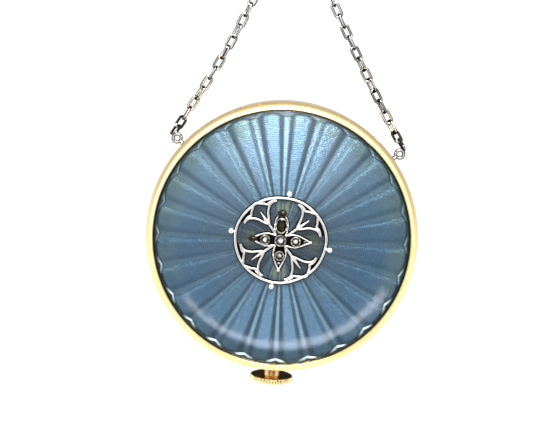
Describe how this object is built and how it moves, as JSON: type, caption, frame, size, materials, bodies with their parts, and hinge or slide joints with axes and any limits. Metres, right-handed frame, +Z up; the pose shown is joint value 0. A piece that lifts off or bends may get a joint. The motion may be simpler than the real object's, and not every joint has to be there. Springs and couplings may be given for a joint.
{
  "type": "pill box",
  "caption": "Round hinged pill box with gold rims, fluted enamel on a domed lid, a jewelled openwork ornament, a push button catch and a fine chain on two loops.",
  "frame": {"origin": "under the middle of the box and its push button, on the plane of the foot that it stands on", "axes": "+Z up through the lid, +Y towards the hinge and the chain, -Y towards the push button, +X to the right as seen from the button"},
  "size_m": [0.04, 0.074, 0.0129],
  "materials": {
    "gold": "polished pale yellow gold",
    "gilt": "satin gilt",
    "silver": "engine-turned bright silver",
    "platinum": "polished white metal",
    "steel": "fine ground steel",
    "enamel": "translucent steel-blue enamel, polished",
    "diamond": "faceted clear stone",
    "dark_stone": "faceted stone that looks nearly black"
  },
  "bodies": {
    "base": {"base_rim": "gold", "base_lining": "gilt", "base_guilloche_plate": "silver", "base_enamel": "enamel", "hinge_knuckle_base_left": "gold", "hinge_knuckle_base_middle": "gold", "hinge_knuckle_base_right": "gold", "hinge_pin": "steel", "chain_loop_left": "platinum", "chain_loop_right": "platinum", "button_bush": "gold", "catch_spring": "steel", "chain_left": "platinum", "chain_right": "platinum", "top_ring": "platinum"},
    "lid": {"lid_rim": "gold", "lid_lining": "gilt", "lid_guilloche_plate": "silver", "lid_enamel": "enamel", "hinge_knuckle_lid_left": "gold", "hinge_knuckle_lid_right": "gold", "lid_strike": "steel", "ornament_openwork": "platinum", "ornament_pin_back": "platinum", "ornament_pin_right": "platinum", "ornament_pin_front": "platinum", "ornament_pin_left": "platinum", "collet_centre": "platinum", "collet_back": "platinum", "collet_right": "platinum", "collet_front": "platinum", "collet_left": "platinum", "stone_centre": "diamond", "stone_back": "dark_stone", "stone_right": "diamond", "stone_front": "diamond", "stone_left": "diamond", "tip_stone_back": "dark_stone", "tip_stone_left": "dark_stone", "tip_stone_right": "diamond", "tip_stone_front": "diamond"},
    "button": {"button_head": "gold", "button_stem": "steel", "catch_hook": "steel", "stem_nut": "steel"}
  },
  "joints": [
    {"name": "lid_hinge", "type": "hinge", "parent": "base", "child": "lid", "pos_m": [0, 0.0208, 0.006], "axis": [-1, 0, 0], "range_deg": [0, 100]},
    {"name": "button_press", "type": "slide", "parent": "base", "child": "button", "axis": [0, 1, 0], "range_m": [0, 0.0006], "stiffness_N_per_m": 80, "springref_m": -0.0005, "deforming": ["catch_spring"]}
  ]
}
